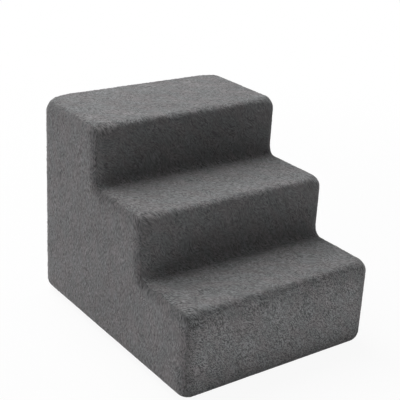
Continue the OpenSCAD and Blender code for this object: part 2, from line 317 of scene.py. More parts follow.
# Foam: three cut slabs, glued one on another and hidden in the cover
foamBlocks = {
    "slabs": {"foam_base": "foam_base_slab", "foam_middle": "foam_middle_slab", "foam_top": "foam_top_slab"},
    "voxel": 0.005,
    "dimple": 0.0004,        # how far the cut face gives way, and by what share more or less
    "unevenShare": 0.5,
    "fill": 0.9,
    "colour": (0.80, 0.76, 0.64),
    "agedColour": (0.74, 0.66, 0.47),
    "poreSize": 1.4,
}


def foamFinish(look):
    finish = newFinish("foam")
    place = finish.millimetres()
    sockets = {"Vector": place, "Scale": 1 / look["poreSize"]}
    pores = finish.add("ShaderNodeTexVoronoi", {}, sockets, "Distance")
    cloud = finish.noise(place * (0.02, 0.02, 0.02), 3.0)
    colour = finish.mixed(cloud.ramped(0.4, 0.7), look["colour"], look["agedColour"])
    # Painted shade in the foam's pores
    paintedPoreShade = (0.62 + 0.5 * pores.ramped(0.1, 0.6)).clamped()
    return finish.surface({
        "Base Color": colour * paintedPoreShade,
        "Roughness": (0.86 + 0.12 * cloud).clamped(),
        "Specular IOR Level": 0.2,
        "Normal": finish.bumped(pores.ramped(0.05, 0.7), 0.0006),
    })


def foamSlab(name, node, look, material):
    block = bpy.data.objects.new(name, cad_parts[node].data.copy())
    scene.collection.objects.link(block)
    rounding = block.modifiers.new("rounding", "REMESH")
    rounding.mode = "VOXEL"
    rounding.voxel_size = look["voxel"]
    rounded = bpy.data.meshes.new_from_object(block.evaluated_get(bpy.context.evaluated_depsgraph_get()))
    block.modifiers.clear()
    block.data = rounded
    count = len(rounded.vertices)
    places, normals = np.zeros(count * 3), np.zeros(count * 3)
    rounded.vertices.foreach_get("co", places)
    rounded.vertices.foreach_get("normal", normals)
    places, normals = places.reshape(-1, 3), normals.reshape(-1, 3)
    hollow = sampleField(fields["swell"], places[:, 0] + places[:, 2], places[:, 1] - places[:, 2])
    places -= normals * (look["dimple"] * np.clip(1 + look["unevenShare"] * hollow, 0, 2))[:, None]
    rounded.vertices.foreach_set("co", places.reshape(-1))
    rounded.polygons.foreach_set("use_smooth", [True] * len(rounded.polygons))
    rounded.update()
    dressPiece(block, "stairs", [node], material)
    return block


foam = foamFinish(foamBlocks)
foamSlabs = [foamSlab(name, node, foamBlocks, foam) for name, node in foamBlocks["slabs"].items()]
print("foam made:", [len(slab.data.polygons) for slab in foamSlabs])


# A station of the outline is a point of the core line, one edge radius under the surface, the way that
# the surface faces there as an angle, and the vector towards which a tighter edge is pulled out
def arcStations(y, z, start, stop, reach, span, cell, pull=None):
    steps = max(2, math.ceil(math.radians(abs(stop - start)) * span / cell))
    turns = np.radians(np.linspace(start, stop, steps + 1))
    way = np.stack([np.cos(turns), np.sin(turns)], 1)
    pulls = way if pull is None else np.tile(np.array(pull, float), (len(turns), 1))
    return np.concatenate([np.array([[y, z]]) + reach * way, turns[:, None], pulls], 1)


def outerEdge(y, z, start, stop, cell, pull=None):
    return arcStations(y, z, start, stop, 0.0, stairs["edge"], cell, pull)


def innerCorner(riser, tread, cell):
    radius = stairs["cornerRadius"]
    reach = radius + stairs["edge"]
    span = reach * stairs["cornerSpan"]
    return arcStations(riser - radius, tread + radius, 90, 180, -reach, span, cell)


def wayOf(run):
    return np.stack([np.cos(run[:, 2]), np.sin(run[:, 2])], 1)


# From the core line to the surface. Towards a side the tight nosings ease into the wide side edge,
# so that a corner where three faces meet is round all over. toSide is how far off the rounded edge is.
def reachOf(run, lean=None, toSide=0.0):
    way = wayOf(run)
    tight = (stairs["edge"] - stairs["nosing"]) * (run[:, 3:5] - way)
    if lean is None:
        return stairs["edge"] * way + tight
    toSeam = stairs["edge"] * (math.pi / 4 - np.minimum(np.abs(lean), math.pi / 4)) + toSide
    share = np.minimum(toSeam / (stairs["edge"] * math.pi / 4 + stairs["easeRun"]), 1)
    left = share * share * (3 - 2 * share)
    return stairs["edge"] * way[:, None] + tight[:, None] * left[..., None]


def joinStations(parts, cell):
    rows = [parts[0]]
    for part in parts[1:]:
        last, following = rows[-1][-1:], part[:1]
        gap = np.hypot(*(following[:, :2] + reachOf(following) - last[:, :2] - reachOf(last))[0])
        if gap > cell / 2:
            shares = np.linspace(0, 1, math.ceil(gap / cell) + 1)[1:-1, None]
            rows.append(last + (following - last) * shares)
        rows.append(part if gap > 1e-7 else part[1:])
    return np.concatenate(rows)


# The runs of stations up the steps, down the back to the zip, on to the bottom edge, and underneath
def stationRuns(cell):
    edge, front, back, under = (stairs[k] for k in ("edge", "front", "back", "under"))
    treads, risers = stairs["treads"], stairs["risers"]
    frontPull, backPull = (-1, 1), (1, 1)
    steps = [outerEdge(front + edge, under + edge, 270, 180, cell)]
    for level, tread in enumerate(treads):
        face = front if level == 0 else risers[level - 1]
        steps.append(outerEdge(face + edge, tread - edge, 180, 90, cell, frontPull))
        if level < len(risers):
            steps.append(innerCorner(risers[level], tread, cell))
    steps.append(outerEdge(back - edge, treads[-1] - edge, 90, 45, cell, backPull))
    zipStation = np.array([[back - edge, stairs["zipZ"], 0.0, 1.0, 0.0]])
    down = [outerEdge(back - edge, treads[-1] - edge, 45, 0, cell, backPull), zipStation]
    strip = [zipStation, outerEdge(back - edge, under + edge, 0, -90, cell)]
    ends = np.array([[y, under + edge, -math.pi / 2, 0.0, -1.0] for y in (back - edge, front + edge)])
    return [joinStations(run, cell) for run in (steps, down, strip, (ends[:1], ends[1:]))]


def alongSurface(run):
    outer = run[:, :2] + reachOf(run)
    return np.concatenate([[0], np.cumsum(np.hypot(*np.diff(outer, axis=0).T))])


# Points and normals of the cover where it leans from a place across the stairs towards a side
def skinAt(run, lean, place):
    way, reach = wayOf(run), reachOf(run, lean, stairs["flatX"] - np.abs(place))
    edge = stairs["edge"]
    x = place + edge * np.sin(lean)
    y = run[:, 0:1] + np.cos(lean) * reach[..., 0]
    z = run[:, 1:2] + np.cos(lean) * reach[..., 1]
    tilt = np.sin(lean) * (reach * way[:, None, :]).sum(-1) / edge
    normals = np.stack([tilt, np.cos(lean) * way[:, 0:1], np.cos(lean) * way[:, 1:2]], -1)
    return np.stack([x, y, z], -1), normals / np.linalg.norm(normals, axis=-1, keepdims=True)


# Relief of the plush cover: how the pile clumps, the cloth swells and the seams draw in
coverCloth = {
    "cell": 0.0021,
    "clump": 0.00016,
    "ripple": 0.00012,
    "swell": 0.00035,
    "swellRun": 0.03,             # how far from a seam the cloth swells fully
    "seamDeep": 0.00025,
    "seamWide": 0.0026,
    "seamWander": 0.0007,
    "pucker": 0.00024,
    "puckerReach": 0.011,
    "crease": 0.00045,
    "lipCalm": 0.004,             # how far from the zip's lip the relief starts to show
    "underCalm": 0.8,             # how much of the relief is pressed flat underneath
    "hemDeep": 0.0032,
    "swirlSide": 0.0022,
    "swirlStep": 0.0024,
    "napTurn": -40.0,
    "sideRuffle": 0.9,
    "stepRuffle": (0.6, 1.0, 0.55),  # on a riser, and how much more on the lowest one and on a tread
    "patchRuffle": (0.8, 0.4),    # least share of that, and how much a patch adds
    "treadTilt": (0.35, 0.5),     # upward share of the normal where a tread starts, and its run
    # Bands of painted shade and painted highlight in the pile's colour
    "sideBand": (0.007, 0.010),   # painted shade in a band past a seam: how far from it, and how wide
    "frontBand": (0.002, 0.010),  # the same, beside a riser
    "frontBandShare": 0.6,
    "edgeBand": (0.002, 0.014),   # on the riser itself
    "noseBand": (0.018, 0.014),   # painted shade in a band under the lowest nosing
    "noseBandShare": 0.5,
    "noseBandPatch": (0.6, 0.6),
    "patchMost": 1.3,
    "creaseBandShare": 0.25,
    "nosePaintedHighlight": 0.35,             # painted highlight: how much paler the pile is painted over a nosing
    "riserShade": (0.22, 0.25),   # painted shade: how much darker the risers are painted above each tread, added up
    "bandMost": 0.9,
    "seamMark": 0.0035,           # how wide the painted shade along a seam is
}
# How far apart the panels lie in the random fields and in the plush's noise
layerApart = {"relief": 0.17, "nap": 0.13, "noise": 7.3}


def clothRelief(u, v, near, offset):
    cloth = coverCloth
    calm = 1 - np.exp(-(near / cloth["seamWide"]) ** 2)
    height = cloth["clump"] * sampleField(fields["clump"], u + offset, v)
    height += cloth["ripple"] * sampleField(fields["ripple"], u, v + offset)
    height += cloth["swell"] * sampleField(fields["swell"], u, v + offset) * np.tanh(near / cloth["swellRun"])
    pucker = sampleField(fields["pucker"], u + offset, v) * np.exp(-near / cloth["puckerReach"])
    height += cloth["pucker"] * pucker
    return height * calm - cloth["seamDeep"] * (1 - calm)


# How far the seam leans and wanders along the outline, the same for both panels that it joins
def seamLean(turns, along):
    wander = coverCloth["seamWander"] / stairs["edge"] * sampleField(fields["seam"], along, 0 * along)
    facesDown = np.sin(turns) < -1e-9
    lean = np.where(facesDown, np.arctan(np.abs(np.cos(turns))), math.radians(45))
    return lean + wander * np.where(facesDown, np.cos(turns) ** 2, 1.0)


# Where the pile lies on the cloth, in metres across and along the nap, swirled a little
def napPlace(u, v, turn, swirl, layer):
    c, s = math.cos(math.radians(turn)), math.sin(math.radians(turn))
    offset = layerApart["nap"] * layer
    a = u + swirl * sampleField(fields["swirlU"], u + offset, v)
    b = v + swirl * sampleField(fields["swirlV"], u, v + offset)
    return np.stack([c * a - s * b, s * a + c * b, np.full_like(u, layer * layerApart["noise"])], -1)


def bandAt(distance, band):
    return np.exp(-((distance - band[0]) / band[1]) ** 2)


def treadShare(normals):
    start, run = coverCloth["treadTilt"]
    return np.clip((normals[..., 2] - start) / run, 0, 1)


# What the finish needs to know of a place: how close a seam is, how trodden and how ruffled the pile
# is, and how much painted shade it gets, or painted highlight where that is below zero
def giveMarks(thing, place, near, trodden, ruffle, band):
    marks = np.stack([np.exp(-(near / coverCloth["seamMark"]) ** 2), trodden, ruffle], -1)
    for name, kind, key, values in (
            ("clothPlace", "FLOAT_VECTOR", "vector", place),
            ("clothMarks", "FLOAT_VECTOR", "vector", marks),
            ("clothPaintedShading", "FLOAT", "value", band)):
        attribute = thing.data.attributes.new(name, kind, "POINT")
        attribute.data.foreach_set(key, values.reshape(-1).astype(np.float32))


def gridFaces(rows, columns):
    first = (np.arange(rows - 1)[:, None] * columns + np.arange(columns - 1)).reshape(-1)
    return np.stack([first + columns, first + columns + 1, first + 1, first], 1).tolist()


# Columns across the stairs: a place on the flat and a share of the lean towards the side seam
def acrossColumns(cell, slit):
    flat = stairs["flatX"]
    bend = max(4, math.ceil(stairs["edge"] * math.pi / 4 / cell))
    middle = np.linspace(-flat, flat, math.ceil(2 * flat / cell) + 1)
    if slit:
        radius, start = stairs["slitRadius"], stairs["slitStraight"]
        tip = start + radius
        bends = start + radius * np.sin(np.radians(np.arange(0, 90, stairs["slitTurn"])))
        fine = np.concatenate([bends, [tip - 1e-5, tip + stairs["slitGuard"]]])
        middle = middle[np.abs(np.abs(middle) - start - radius / 2) > radius / 2 + stairs["slitClear"]]
        middle = np.unique(np.concatenate([middle, fine, -fine]))
    lean = np.linspace(1, 0, bend + 1)[:-1]
    places = np.concatenate([np.full(bend, -flat), middle, np.full(bend, flat)])
    shares = np.concatenate([-lean, np.zeros(len(middle)), lean[::-1]])
    return places, shares


# Half the height of the zip's slit, measured to the crown of its rolled lips
def slitHeight(x):
    radius = stairs["slitRadius"]
    past = np.clip(np.abs(x) - stairs["slitStraight"], 0, radius)
    return np.sqrt(np.maximum(radius ** 2 - past ** 2, 0))


# The cloth's edge at the zip rolls in round its own thickness. Past the slit it is a plain hem.
def lipRows(edgePoints):
    middle = edgePoints.copy()
    straight = stairs["slitStraight"]
    middle[:, 0] = np.clip(middle[:, 0], -straight, straight)
    middle[:, 2] = stairs["zipZ"]
    way = (middle - edgePoints) * [1, 0, 1]
    way /= np.maximum(np.linalg.norm(way, axis=1, keepdims=True), 1e-6)
    opening = slitHeight(edgePoints[:, 0])[:, None] > 1e-6
    inward = np.array([[0, -1.0, 0]])
    rows = []
    for turn in np.radians(np.arange(stairs["lipTurn"], 181, stairs["lipTurn"])):
        rolled = stairs["lip"] * (inward * (1 - math.cos(turn)) + way * math.sin(turn))
        hem = inward * coverCloth["hemDeep"] * turn / math.pi
        rows.append(edgePoints + np.where(opening, rolled, hem))
    return np.stack(rows)


# A long strip of plush across the stairs, hemmed along its seams. slit is 1 above the zip, -1 below it.
def plushStrip(name, run, start, layer, nodes, material, swirl, napTurn=0.0, slit=0):
    cloth = coverCloth
    edge = stairs["edge"]
    places, shares = acrossColumns(cloth["cell"], slit)
    along = start + alongSurface(run)
    turns = run[:, 2:3]
    seam = seamLean(run[:, 2], along)[:, None]
    lean = shares[None, :] * seam
    points, normals = skinAt(run, lean, places[None, :])
    u = places[None, :] + edge * lean
    v = along[:, None] + 0 * u
    toSide = stairs["flatX"] - np.abs(places)[None, :] + edge * seam * (1 - np.abs(shares)[None, :])
    toStart, toEnd = (along - along[0])[:, None] + 0 * u, (along[-1] - along)[:, None] + 0 * u
    lipGap = np.full_like(u, 1.0)
    if slit:
        # The rows nearest the zip are drawn back to the crown of the lip
        opening = slitHeight(points[..., 0])
        height = np.where(np.abs(turns) < 1e-9, np.abs(points[..., 2] - stairs["zipZ"]), 1e3)
        fullHeight = height[height < 1e3].max()
        points[..., 2] += slit * opening * np.clip(1 - height / fullHeight, 0, 1)
        lipGap = np.abs(points[..., 2] - stairs["zipZ"]) - opening
        lipGap = np.where(opening > 1e-6, lipGap, 1.0)
        toZip, toSeam = (toEnd, toStart) if slit > 0 else (toStart, toEnd)
        near = np.minimum(np.minimum(toSide, toSeam), np.where(opening > 1e-6, 1.0, toZip))
    else:
        near = np.minimum(np.minimum(toSide, toStart), toEnd)
    relief = clothRelief(u, v, near, layerApart["relief"] * layer) * np.clip(lipGap / cloth["lipCalm"], 0, 1)
    relief *= 1 - cloth["underCalm"] * np.clip(-normals[..., 2], 0, 1)

    # The lowest riser: the cloth creases under the nosing, and painted shade darkens a band there and the
    # creases
    frontFace = np.clip(-np.cos(turns), 0, 1) ** 2 + 0 * u
    lowest = frontFace * (points[..., 2] < stairs["treads"][0])
    underNose = bandAt(stairs["treads"][0] - points[..., 2], cloth["noseBand"]) * lowest
    patch = np.clip(0.5 + 0.5 * sampleField(fields["patch"], u, v), 0, cloth["patchMost"])
    crease = sampleField(fields["crease"], v, u) * underNose * patch
    relief += cloth["crease"] * crease
    points = points + normals * relief[..., None]
    # Painted shade: a band under the lowest nosing, the creases, and the riser beside each side edge
    least, added = cloth["noseBandPatch"]
    band = cloth["noseBandShare"] * underNose * (least + added * patch)
    band += cloth["creaseBandShare"] * np.clip(-crease, 0, 2)
    band += bandAt(toSide, cloth["edgeBand"]) * frontFace
    # Painted shade on the risers, more above each tread
    for tread, share in zip(stairs["treads"], cloth["riserShade"]):
        band += share * frontFace * (points[..., 2] > tread)
    # Painted highlight over the tread nosings, stronger in patches
    overNose = np.where(np.gradient(run[:, 2]) < 0, np.sin(2 * run[:, 2]) ** 2, 0)[:, None]
    band -= cloth["nosePaintedHighlight"] * overNose * patch
    band = np.minimum(band, cloth["bandMost"])
    trodden = treadShare(normals)
    plain, onLowest, onTread = cloth["stepRuffle"]
    least, added = cloth["patchRuffle"]
    ruffle = (plain + onLowest * lowest + onTread * trodden) * (least + added * patch)
    place = napPlace(u, v, napTurn, swirl, layer)

    # Hems turn in along the seams, and lips along the slit
    ends = (0 if slit < 0 else 1, 0 if slit > 0 else 1)
    edges = (ends, (1, 1))
    turnedIn = np.pad(np.zeros_like(u), edges, constant_values=1.0)[..., None]
    points, normals, place = (
        np.pad(grid, (*edges, (0, 0)), mode="edge") for grid in (points, normals, place))
    points = points - cloth["hemDeep"] * turnedIn * normals
    flat = [np.pad(grid, edges, mode="edge") for grid in (near, trodden, ruffle, band)]
    if slit:
        lip = lipRows(points[-1] if slit > 0 else points[0])
        count = len(lip)
        more = ((0, count) if slit > 0 else (count, 0), (0, 0))
        points = np.concatenate([points, lip] if slit > 0 else [lip[::-1], points])
        place = np.pad(place, (*more, (0, 0)), mode="edge")
        flat = [np.pad(grid, more, mode="edge") for grid in flat]
    thing = meshObject(name, points, gridFaces(points.shape[0], points.shape[1]))
    giveMarks(thing, place, *flat)
    weld(thing)
    dressPiece(thing, "stairs", nodes, material)
    hem = 2 * cloth["hemDeep"]
    flatSize = (2 * (stairs["flatX"] + edge * math.pi / 4) + hem, along[-1] - along[0] + hem)
    print("cut:", name, [round(size, 4) for size in flatSize])
    return thing


# Plush: short pile with a nap, smoother where it is stepped on. Its colour is darker at the roots, which is
# painted shade in the valleys of the pile, and it carries painted shade along seams and in bands.
plushLook = {
    "rootShadeColour": (0.090, 0.088, 0.090),
    "tipColour": (0.306, 0.302, 0.304),
    "stepTint": (1.0, 1.022, 1.014),     # the step panel against the side panels
    "warmTint": (1.025, 0.985, 0.995),
    "coolTint": (0.985, 1.0, 1.01),
    "contrast": 5.0,
    "streak": (0.0014, 0.0062),    # strokes of pile: width and length
    "lock": (0.0060, 0.0160),
    "hair": (0.0010, 0.0034),
    "shares": {"streak": 0.62, "hair": 0.30, "lock": 0.08},   # of the pile's height
    "strokeDetail": 1.5,
    "strokeRough": 0.65,
    "messyFrom": (0.95, 1.3),      # how ruffled the pile is where hairs take over from streaks
    "messyShare": 0.35,
    "warmPatch": (0.018, 0.04),
    "mottlePatch": (0.05, 0.08),
    "mottle": (0.88, 0.24),        # darkest share, and how much a patch lightens
    "deep": 0.0011,
    # How strong the painted shade is along the seams and in the bands
    "seamShade": 0.14,
    "bandShade": 0.27,
}


def plushFinish(name, look, panelTint):
    finish = newFinish(name)
    place, marks = finish.attribute("clothPlace"), finish.attribute("clothMarks")
    band = finish.attribute("clothPaintedShading", "Fac")
    seam, trodden, ruffle = marks.part(0), marks.part(1), marks.part(2)

    def grain(size):
        return place * (1 / size[0], 1 / size[1], 1.0)

    streak, lock, hair = (
        finish.noise(grain(look[k]), look["strokeDetail"], look["strokeRough"])
        for k in ("streak", "lock", "hair"))
    messy = ruffle.ramped(*look["messyFrom"]) * look["messyShare"]
    shares = look["shares"]
    height = streak * (shares["streak"] - messy) + hair * (shares["hair"] + messy) + lock * shares["lock"]
    # Where the pile is low it takes the root colour, painted shade in its valleys; the streaks differ at
    # random
    tip = (0.5 + (height - 0.5) * ruffle * look["contrast"]).clamped()
    colour = finish.mixed(tip, look["rootShadeColour"], look["tipColour"])
    warm = finish.noise(grain(look["warmPatch"]) + (5.1, 2.7, 0.0))
    tint = finish.mixed(warm.ramped(0.35, 0.65), look["coolTint"], look["warmTint"])
    mottle = look["mottle"][0] + look["mottle"][1] * finish.noise(grain(look["mottlePatch"]))
    # Random mottle, times painted shade along the seams and in the bands (a painted highlight where a band is
    # below zero)
    mottleAndPaintedShade = mottle * (1 - look["seamShade"] * seam) * (1 - look["bandShade"] * band)
    return finish.surface({
        "Base Color": colour * tint * mottleAndPaintedShade * panelTint,
        "Roughness": (0.98 - 0.1 * trodden * tip).clamped(),
        "Specular IOR Level": 0.12,
        "Sheen Weight": 0.18,
        "Sheen Roughness": 0.5,
        "Normal": finish.bumped(height * ruffle, look["deep"]),
    })


plush = plushFinish("plush", plushLook, (1.0, 1.0, 1.0))
stepPlush = plushFinish("stepPlush", plushLook, plushLook["stepTint"])
stepRun, backRun, stripRun, underRun = stationRuns(coverCloth["cell"])
stepLong = alongSurface(stepRun)[-1]
backLong = alongSurface(backRun)[-1]
swirlStep, swirlSide = coverCloth["swirlStep"], coverCloth["swirlSide"]
stepPanel = plushStrip(
    "step_panel", stepRun, 0.0, 1, ["cover_step_panel"], stepPlush, swirlStep, coverCloth["napTurn"])
backPanel = plushStrip(
    "back_panel", backRun, stepLong, 2, ["cover_back_panel"], plush, swirlSide, slit=1)
backStrip = plushStrip(
    "back_strip", stripRun, stepLong + backLong, 3, ["cover_back_strip"], plush, swirlSide, slit=-1)
print("step panel and back made:", len(stepPanel.data.polygons), len(backPanel.data.polygons))


# Which points lie inside a closed outline, and how far each is from it
def outlineGap(outline, points):
    inside = np.zeros(len(points), bool)
    nearest = np.full(len(points), 1e9)
    for start, stop in zip(outline, np.roll(outline, -1, 0)):
        crosses = (start[1] > points[:, 1]) != (stop[1] > points[:, 1])
        if start[1] != stop[1]:
            cut = start[0] + (points[:, 1] - start[1]) / (stop[1] - start[1]) * (stop[0] - start[0])
            inside ^= crosses & (points[:, 0] < cut)
        way = stop - start
        share = np.clip(((points - start) @ way) / max(way @ way, 1e-18), 0, 1)
        nearest = np.minimum(nearest, np.hypot(*(points - start - share[:, None] * way).T))
    return inside, nearest


# Triangles over a flat outline, with points inside it about a cell apart. The shares are of a cell.
fillShares = {"row": 0.87, "stray": 0.12, "clear": 0.55}


def fillOutline(outline, cell, seed):
    low, high = outline.min(0), outline.max(0)
    rows = np.arange(low[1], high[1], cell * fillShares["row"])
    columns = np.arange(low[0], high[0], cell)
    y, z = np.meshgrid(columns, rows)
    y = y + cell / 2 * (np.arange(len(rows)) % 2)[:, None]
    spots = np.stack([y.reshape(-1), z.reshape(-1)], 1)
    stray = fillShares["stray"]
    spots += np.random.default_rng(seed).uniform(-stray, stray, spots.shape) * cell
    inside, gap = outlineGap(outline, spots)
    spots = spots[inside & (gap > cell * fillShares["clear"])]
    count = len(outline)
    loop = [(i, (i + 1) % count) for i in range(count)]
    every = [Vector(p) for p in np.concatenate([outline, spots]).tolist()]
    found = delaunay_2d_cdt(every, loop, [], 1, 1e-7)
    return np.array([tuple(p) for p in found[0]]), found[2]


sideLoop = np.concatenate([stepRun, backRun[1:], stripRun[1:], underRun[1:-1]])
sideAlong = alongSurface(sideLoop)
apart = np.hypot(*(sideLoop[:, :2] - np.roll(sideLoop[:, :2], 1, 0)).T) > 1e-6
flatOutline = sideLoop[apart, :2]
flatPoints, flatFaces = fillOutline(flatOutline, coverCloth["cell"], 21)
flatGap = outlineGap(flatOutline, flatPoints)[1]


# The stair-shaped panel of one side: a rim that bends round the edges, and a flat face inside it
def plushSide(name, side, layer, nodes, material):
    cloth = coverCloth
    edge = stairs["edge"]
    bend = max(4, math.ceil(edge * math.pi / 4 / cloth["cell"]))
    seam = seamLean(sideLoop[:, 2], sideAlong)[:, None]
    share = np.linspace(0, 1, bend + 1)[None, :]
    lean = seam + (math.pi / 2 - seam) * share
    points, normals = skinAt(sideLoop, lean, stairs["flatX"])
    out = (math.pi / 2 - lean)[..., None] * reachOf(sideLoop)[:, None, :]
    u, v = sideLoop[:, 0:1] + out[..., 0], sideLoop[:, 1:2] + out[..., 1]
    rim = edge * math.pi / 4
    near = rim * share + 0 * u

    count = len(flatPoints)
    flatU, flatV = flatPoints[:, 0], flatPoints[:, 1]
    flatSkin = np.stack([np.full(count, stairs["flatX"] + edge), flatU, flatV], -1)
    flatNear = flatGap + rim
    offset = layerApart["relief"] * layer
    relief = clothRelief(u, v, near, offset) * (1 - cloth["underCalm"] * np.clip(-normals[..., 2], 0, 1))
    flatSkin[:, 0] += clothRelief(flatU, flatV, flatNear, offset)
    rising = np.clip(np.sin(sideLoop[:, 2:3]), 0, 1) ** 2
    forward = np.clip(-np.cos(sideLoop[:, 2:3]), 0, 1) ** 2
    # Painted shade in a band past the seam where the rim runs under a tread, and beside the risers
    band = bandAt(near, cloth["sideBand"]) * rising
    band = band + cloth["frontBandShare"] * bandAt(near, cloth["frontBand"]) * forward
    nap = [napPlace(a, b, 0.0, cloth["swirlSide"], layer) for a, b in ((u, v), (flatU, flatV))]

    def hemmed(grid):
        return np.concatenate([grid[:, :1], grid], 1)

    def joined(ring, flat):
        return np.concatenate([hemmed(ring).reshape(-1, *ring.shape[2:]), flat])

    ring = points + normals * relief[..., None]
    turnedIn = np.zeros((1, bend + 2, 1))
    turnedIn[:, 0] = cloth["hemDeep"]
    ring = hemmed(ring) - turnedIn * hemmed(normals)
    points = np.concatenate([ring.reshape(-1, 3), flatSkin])
    rows, width = ring.shape[:2]
    a = (np.arange(rows)[:, None] * width + np.arange(width - 1)).reshape(-1)
    b = (a + width) % (rows * width)
    faces = np.stack([a, b, b + 1, a + 1], 1).tolist()
    faces += [[i + rows * width for i in face] for face in flatFaces]
    points[:, 0] *= side
    thing = meshObject(name, points, faces)
    zero = np.zeros(count)
    giveMarks(
        thing, joined(nap[0], nap[1]), joined(near, flatNear), joined(treadShare(normals), zero),
        joined(np.full_like(u, cloth["sideRuffle"]), zero + cloth["sideRuffle"]), joined(band, zero))
    weld(thing, outward=True)
    dressPiece(thing, "stairs", nodes, material)
    hem = 2 * cloth["hemDeep"]
    span = np.ptp(flatOutline, axis=0)
    flatSize = (span[0] + 2 * rim + hem, span[1] + 3 * rim + hem)
    y, z = flatOutline.T
    inner = abs(y @ np.roll(z, -1) - z @ np.roll(y, -1)) / 2
    long = np.hypot(*(flatOutline - np.roll(flatOutline, 1, 0)).T).sum()
    area = inner + long * (rim + cloth["hemDeep"]) + span[0] * rim
    print("cut:", name, [round(size, 4) for size in flatSize], "area", round(area, 4))
    return thing


leftPanel = plushSide("left_side_panel", -1, 4, ["cover_left_panel"], plush)
rightPanel = plushSide("right_side_panel", 1, 5, ["cover_right_panel"], plush)
print("side panels made:", len(leftPanel.data.polygons), len(rightPanel.data.polygons))


# Bottom: a knitted black cloth with raised rubber dots that grip the floor
gripCloth = {
    "cell": 0.005,
    "dotRadius": 0.0025,
    "dotPitch": 0.020,
    "dotMargin": 0.010,
    "dotRoot": 0.0003,
    "dotSides": 14,
    "dotRings": 3,
    "dotCrown": 0.6,        # how full a dot's dome is: 1 is a plain half round
    "swell": 0.00012,
    "hem": 0.003,
    "colour": (0.020, 0.020, 0.022),
    "worn": (0.036, 0.035, 0.036),
    "stitch": 0.9,          # knit stitch, mm
    "rubber": (0.012, 0.012, 0.013),
}


def knitFinish(look):
    finish = newFinish("gripCloth")
    place = finish.millimetres()
    turn = 2 * math.pi / look["stitch"]
    across, along = place.part(0), place.part(1)
    legs = (across * turn + (along * turn).sine() * 0.8).sine() * (along * (turn / 1.3)).sine()
    cloud = finish.noise(place * (0.03, 0.03, 0.03), 3.0)
    fibre = finish.noise(place * (2.5, 2.5, 2.5))
    tone = ((legs * 0.5 + 0.5) * 0.6 + fibre * 0.4).clamped()
    return finish.surface({
        "Base Color": finish.mixed(tone, look["colour"], look["worn"]) * (0.8 + 0.4 * cloud),
        "Roughness": (0.8 + 0.15 * cloud).clamped(),
        "Specular IOR Level": 0.25,
        "Normal": finish.bumped(tone, 0.0003),
    })


def rubberFinish(look):
    finish = newFinish("gripRubber")
    place = finish.millimetres()
    grain = finish.noise(place * (1.6, 1.6, 1.6), 3.0)
    dust = finish.noise(place * (0.05, 0.05, 0.05))
    return finish.surface({
        "Base Color": finish.mixed(dust.ramped(0.45, 0.75) * 0.5, look["rubber"], look["worn"]),
        "Roughness": (0.42 + 0.3 * grain).clamped(),
        "Normal": finish.bumped(grain, 0.00006),
    })


def bottomSheet(look, material):
    flatX, flatY, under = stairs["flatX"], stairs["flatY"], stairs["under"]
    x = np.linspace(-flatX, flatX, math.ceil(2 * flatX / look["cell"]) + 1)
    y = np.linspace(-flatY, flatY, math.ceil(2 * flatY / look["cell"]) + 1)
    across, along = np.meshgrid(x, y)
    swell = look["swell"] * (1 + np.tanh(sampleField(fields["swell"], across, along)))
    points = np.stack([across, along, under + swell], -1)
    points = np.pad(points, ((1, 1), (1, 1), (0, 0)), mode="edge")
    turnedIn = np.pad(np.zeros_like(across), 1, constant_values=look["hem"])
    points[..., 2] += turnedIn
    sheet = meshObject("bottom_cloth", points, gridFaces(points.shape[0], points.shape[1]))
    weld(sheet)
    return dressPiece(sheet, "stairs", ["cover_bottom_panel"], material)


def gripDots(look, material):
    pitch, sides, rings = look["dotPitch"], look["dotSides"], look["dotRings"]
    countX = math.floor((stairs["flatX"] - look["dotMargin"]) / pitch)
    countY = math.floor((stairs["flatY"] - look["dotMargin"]) / pitch)
    turns = np.linspace(0, 2 * math.pi, sides, endpoint=False)
    tall = stairs["under"] + look["dotRoot"]
    ringSet = []
    for ring in range(rings + 1):
        lean = math.pi / 2 * ring / (rings + 1)
        radius = look["dotRadius"] * math.cos(lean) ** look["dotCrown"]
        level = tall * (1 - math.sin(lean))
        ringSet.append(np.stack([radius * np.cos(turns), radius * np.sin(turns), np.full(sides, level)], 1))
    dome = np.concatenate([*ringSet, [[0, 0, 0]]])
    faces = []
    for ring in range(rings):
        for k in range(sides):
            a, b = ring * sides + k, ring * sides + (k + 1) % sides
            faces.append([b, a, a + sides, b + sides])
    faces += [[rings * sides + (k + 1) % sides, rings * sides + k, len(dome) - 1] for k in range(sides)]
    points, every = [], []
    for i in range(-countX, countX + 1):
        for j in range(-countY, countY + 1):
            every += [[n + len(dome) * len(points) for n in face] for face in faces]
            points.append(dome + [i * pitch, j * pitch, 0])
    dots = meshObject("grip_dots", np.concatenate(points), every)
    return dressPiece(dots, "stairs", ["cover_bottom_panel"], material)


bottomCloth = bottomSheet(gripCloth, knitFinish(gripCloth))
dots = gripDots(gripCloth, rubberFinish(gripCloth))
hemBoth = 2 * gripCloth["hem"]
bottomFlat = (2 * stairs["flatX"] + hemBoth, 2 * stairs["flatY"] + hemBoth)
print("bottom made:", len(dots.data.polygons))


